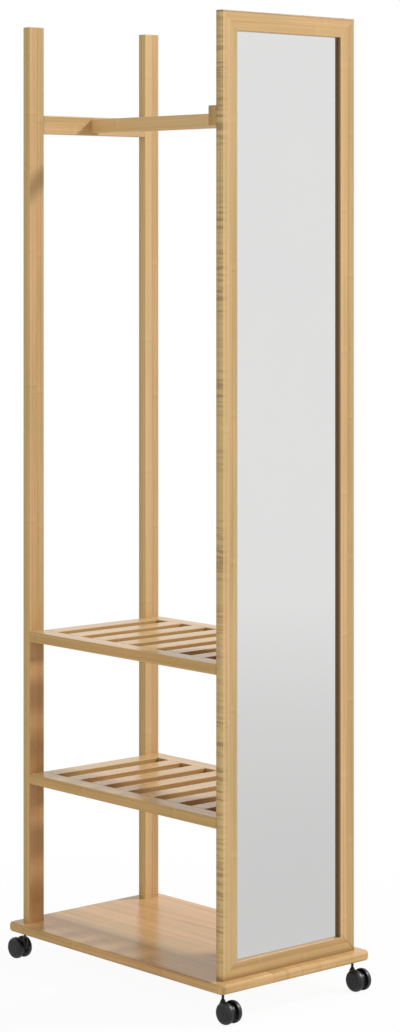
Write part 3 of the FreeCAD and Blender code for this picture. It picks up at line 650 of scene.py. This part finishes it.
# Twin wheels: a hollow inner side, a crowned tread, a round shoulder, a ring groove and a hub cap in the
# face. The shoulder is part of an ellipse. The profile's sizes are in millimetres, the other ones in metres
wheelRow = {"stemAt": 0.1475, "inner": 0.0055, "treadFrom": 0.0129, "sides": 72, "steps": 3, "crease": 38,
            "crown": 18.48, "domeFrom": 3.3, "domeReach": 6.8, "domeDrop": 5.3, "domeTurns": range(90, 5, -9)}
dome = [(wheelRow["domeFrom"] + wheelRow["domeReach"] * math.cos(turn),
         wheelRow["crown"] - wheelRow["domeDrop"] * (1 - math.sin(turn)), 0, 0)
        for turn in np.radians(wheelRow["domeTurns"])]
wheelCorners = [
    (8.5, 0.0, 0, 0), (8.5, 2.55, 0, 0), (0.3, 2.55, 0, 0), (0.0, 2.9, 0, 0), (0.0, 5.0, 0, 0.3),
    (3.0, 5.7, 0, 0.6), (3.0, 15.0, 0, 0.8), (0.0, 15.7, 0, 0.3), (0.0, wheelRow["crown"], 0, 0.6), *dome,
    (10.12, 13.2, 0, 0.2), (9.65, 13.0, 0, 0.15), (9.65, 12.7, 0, 0.15), (10.1, 12.5, 0, 0.2),
    (10.22, 10.0, 0, 0), (10.3, 5.0, 0, 0.2), (9.9, 4.7, 0, 0.2), (9.9, 4.45, 0, 0.2), (10.42, 4.2, 0, 0.25),
    (10.5, 2.2, 0, 0), (10.5, 0.0, 0, 0),
]
wheelRows = profile(wheelCorners, wheelRow["steps"])
wheelForm = turned(wheelRows, wheelRow["sides"])
radii = np.array([row[1] for row in wheelRows[1:-1]])
onTread = (radii[:-1] + radii[1:]) / 2 > wheelRow["treadFrom"]
wheelBands = np.concatenate([np.repeat(onTread, wheelRow["sides"]), np.zeros(2 * wheelRow["sides"], bool)])
wheelBlacks = [solids["wheelPlastic"], solids["treadPlastic"]]
for name in nodes:
    if "_wheel_" not in name:
        continue
    low, high = (np.array(corner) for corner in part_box(name))
    middle = (low + high) / 2
    stemY = math.copysign(wheelRow["stemAt"], low[1])
    sign = math.copysign(1, middle[1] - stemY)
    place = np.array([middle[0], stemY + sign * wheelRow["inner"], middle[2]])
    points, faces = placed(wheelForm, [(place, (0, sign, 0))])
    wheel = pieceOf(name + "_form", points, faces, wheelBlacks, wheelRow["crease"], wheelBands)
    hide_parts(name)
    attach(wheel, name + "_body")
print("wheels are turned")

# Screws: a flush head with an eased rim, or a pan head, with a recess and a plain shank; sizes in millimetres
headCorners = [(2.0, 0.0, 0, 0), (2.0, 1.9, 1, 0), (0.25, 1.9, 1, 0), (0.0, 2.25, 0.3, 0),
               (0.0, 4.22, 0, 0.4), (3.0, 4.22, 0, 0), (3.0, 2.25, 0, 0)]
panCorners = [(0.95, 0.0, 0, 0), (0.85, 0.9, 1, 0), (0.05, 1.7, 1, 0), (0.12, 2.1, 0, 0), (0.5, 2.75, 0, 0.3),
              (1.5, 2.95, 0, 0), (1.5, 1.5, 0, 0)]
screwRows = {
    "upright_screws": {"way": (0, 0, 1), "length": 38.0, "spots": [(x, y, 50.0) for x, ys in (
        (-256.0, (136.0, 125.0)), (256.5, (100.0, 40.0))) for y in (*ys, *(-v for v in ys))]},
    "shelf_screws": {"way": (1, 0, 0), "length": 53.0,
                     "spots": [(-265.0, y, z) for y in (-133.5, 133.5) for z in (321.0, 572.0)]},
    "cross_rail_screws": {"way": (1, 0, 0), "length": 30.0,
                          "spots": [(230.0, y, z) for y in (-133.5, 133.5) for z in (1468.5, 1484.5)]},
    "clip_screws": {"way": (1, 0, 0), "length": 12.0, "pan": True,
                    "spots": [(245.0, y, z) for y in (-133.5, 133.5) for z in (192.56, 857.0, 1331.6)]},
}
screwShape = {"sides": 24, "steps": 2, "tip": 1.0, "crease": 30}
for name, row in screwRows.items():
    pan = row.get("pan", False)
    corners = list(panCorners if pan else headCorners)
    corners += [(row["length"] - screwShape["tip"], corners[-1][1], 0, 0), (row["length"], 0.0, 0, 0)]
    form = turned(profile(corners, screwShape["steps"]), screwShape["sides"], "cross" if pan else "hexagon")
    points, faces = placed(form, [(np.array(spot) / 1000, row["way"]) for spot in row["spots"]])
    screws = pieceOf(name + "_form", points, faces, [solids["zincSteel"]], screwShape["crease"])
    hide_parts(name)
    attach(screws, "stand")
print("screws are turned")

# The mirror frame's bottom rail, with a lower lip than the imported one, so that more of the glass shows. All
# its parts are bars between two rings of corners, in millimetres: the rail from mitre to mitre, the eased
# strip on top of it, and at each end a block that carries the stile's inner edge down to it
railRow = {"foot": 66.0, "ease": 91.5, "lip": 93.0, "rest": 92.5, "back": 248.0, "glassAt": 258.0,
           "front": 265.0, "mitreSum": 216.0, "inner": 117.0, "gap": 0.1, "crease": 30,
           "bevel": ((0.0, 1.5), (0.20, 0.75), (0.44, 0.44), (0.75, 0.20), (1.5, 0.0))}


def railParts():
    row = railRow
    mitred = row["mitreSum"]
    body = np.array([(row["back"], row["foot"]), (row["front"], row["foot"]), (row["front"], row["ease"]),
                     (row["back"], row["ease"])])
    strip = np.array([(row["back"], row["ease"]), (row["front"], row["ease"]),
                      *((row["front"] - inward, row["lip"] - down) for inward, down in row["bevel"][1:]),
                      (row["glassAt"], row["lip"]), (row["glassAt"], row["rest"]),
                      (row["back"], row["rest"])])
    edge = row["bevel"][::-1]
    block = np.array([(row["glassAt"], row["inner"]),
                      *((row["front"] - inward, row["inner"] + aside) for inward, aside in edge),
                      (row["front"], mitred - row["ease"] - row["gap"]),
                      (row["glassAt"], mitred - row["ease"] - row["gap"])])
    reach = mitred - body[:, 1]
    yield 0, [np.stack([body[:, 0], sign * reach, body[:, 1]], axis=1) for sign in (-1, 1)]
    end = np.full(len(strip), mitred - row["lip"])
    yield 0, [np.stack([strip[:, 0], sign * end, strip[:, 1]], axis=1) for sign in (-1, 1)]
    for material, sign in ((1, -1), (2, 1)):
        yield material, [np.stack([block[:, 0], sign * block[:, 1], height], axis=1)
                         for height in (np.full(len(block), row["ease"]), mitred - block[:, 1])]


allPoints, allFaces, allMaterials = [], [], []
for material, (first, second) in railParts():
    count = len(first)
    here = np.arange(count)
    after = (here + 1) % count
    faces = np.stack([here, after, after + count, here + count], axis=1).tolist()
    faces += [here[::-1].tolist(), (here + count).tolist()]
    spots = np.vstack([first, second])
    volume = sum(np.dot(spots[face[0]], np.cross(spots[face[i]], spots[face[i + 1]]))
                 for face in faces for i in range(1, len(face) - 1))
    offset = sum(len(part) for part in allPoints)
    allFaces.extend([offset + corner for corner in (face if volume > 0 else face[::-1])] for face in faces)
    allMaterials.extend([material] * len(faces))
    allPoints.append(spots / 1000)
railWoods = [woods[name] for name in ("frame_rail_bottom", "frame_stile_left", "frame_stile_right")]
rail = pieceOf("frame_rail_bottom_form", np.vstack(allPoints), allFaces, railWoods, railRow["crease"],
               allMaterials)
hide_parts("frame_rail_bottom")
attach(rail, "stand")
print("bottom rail is built")
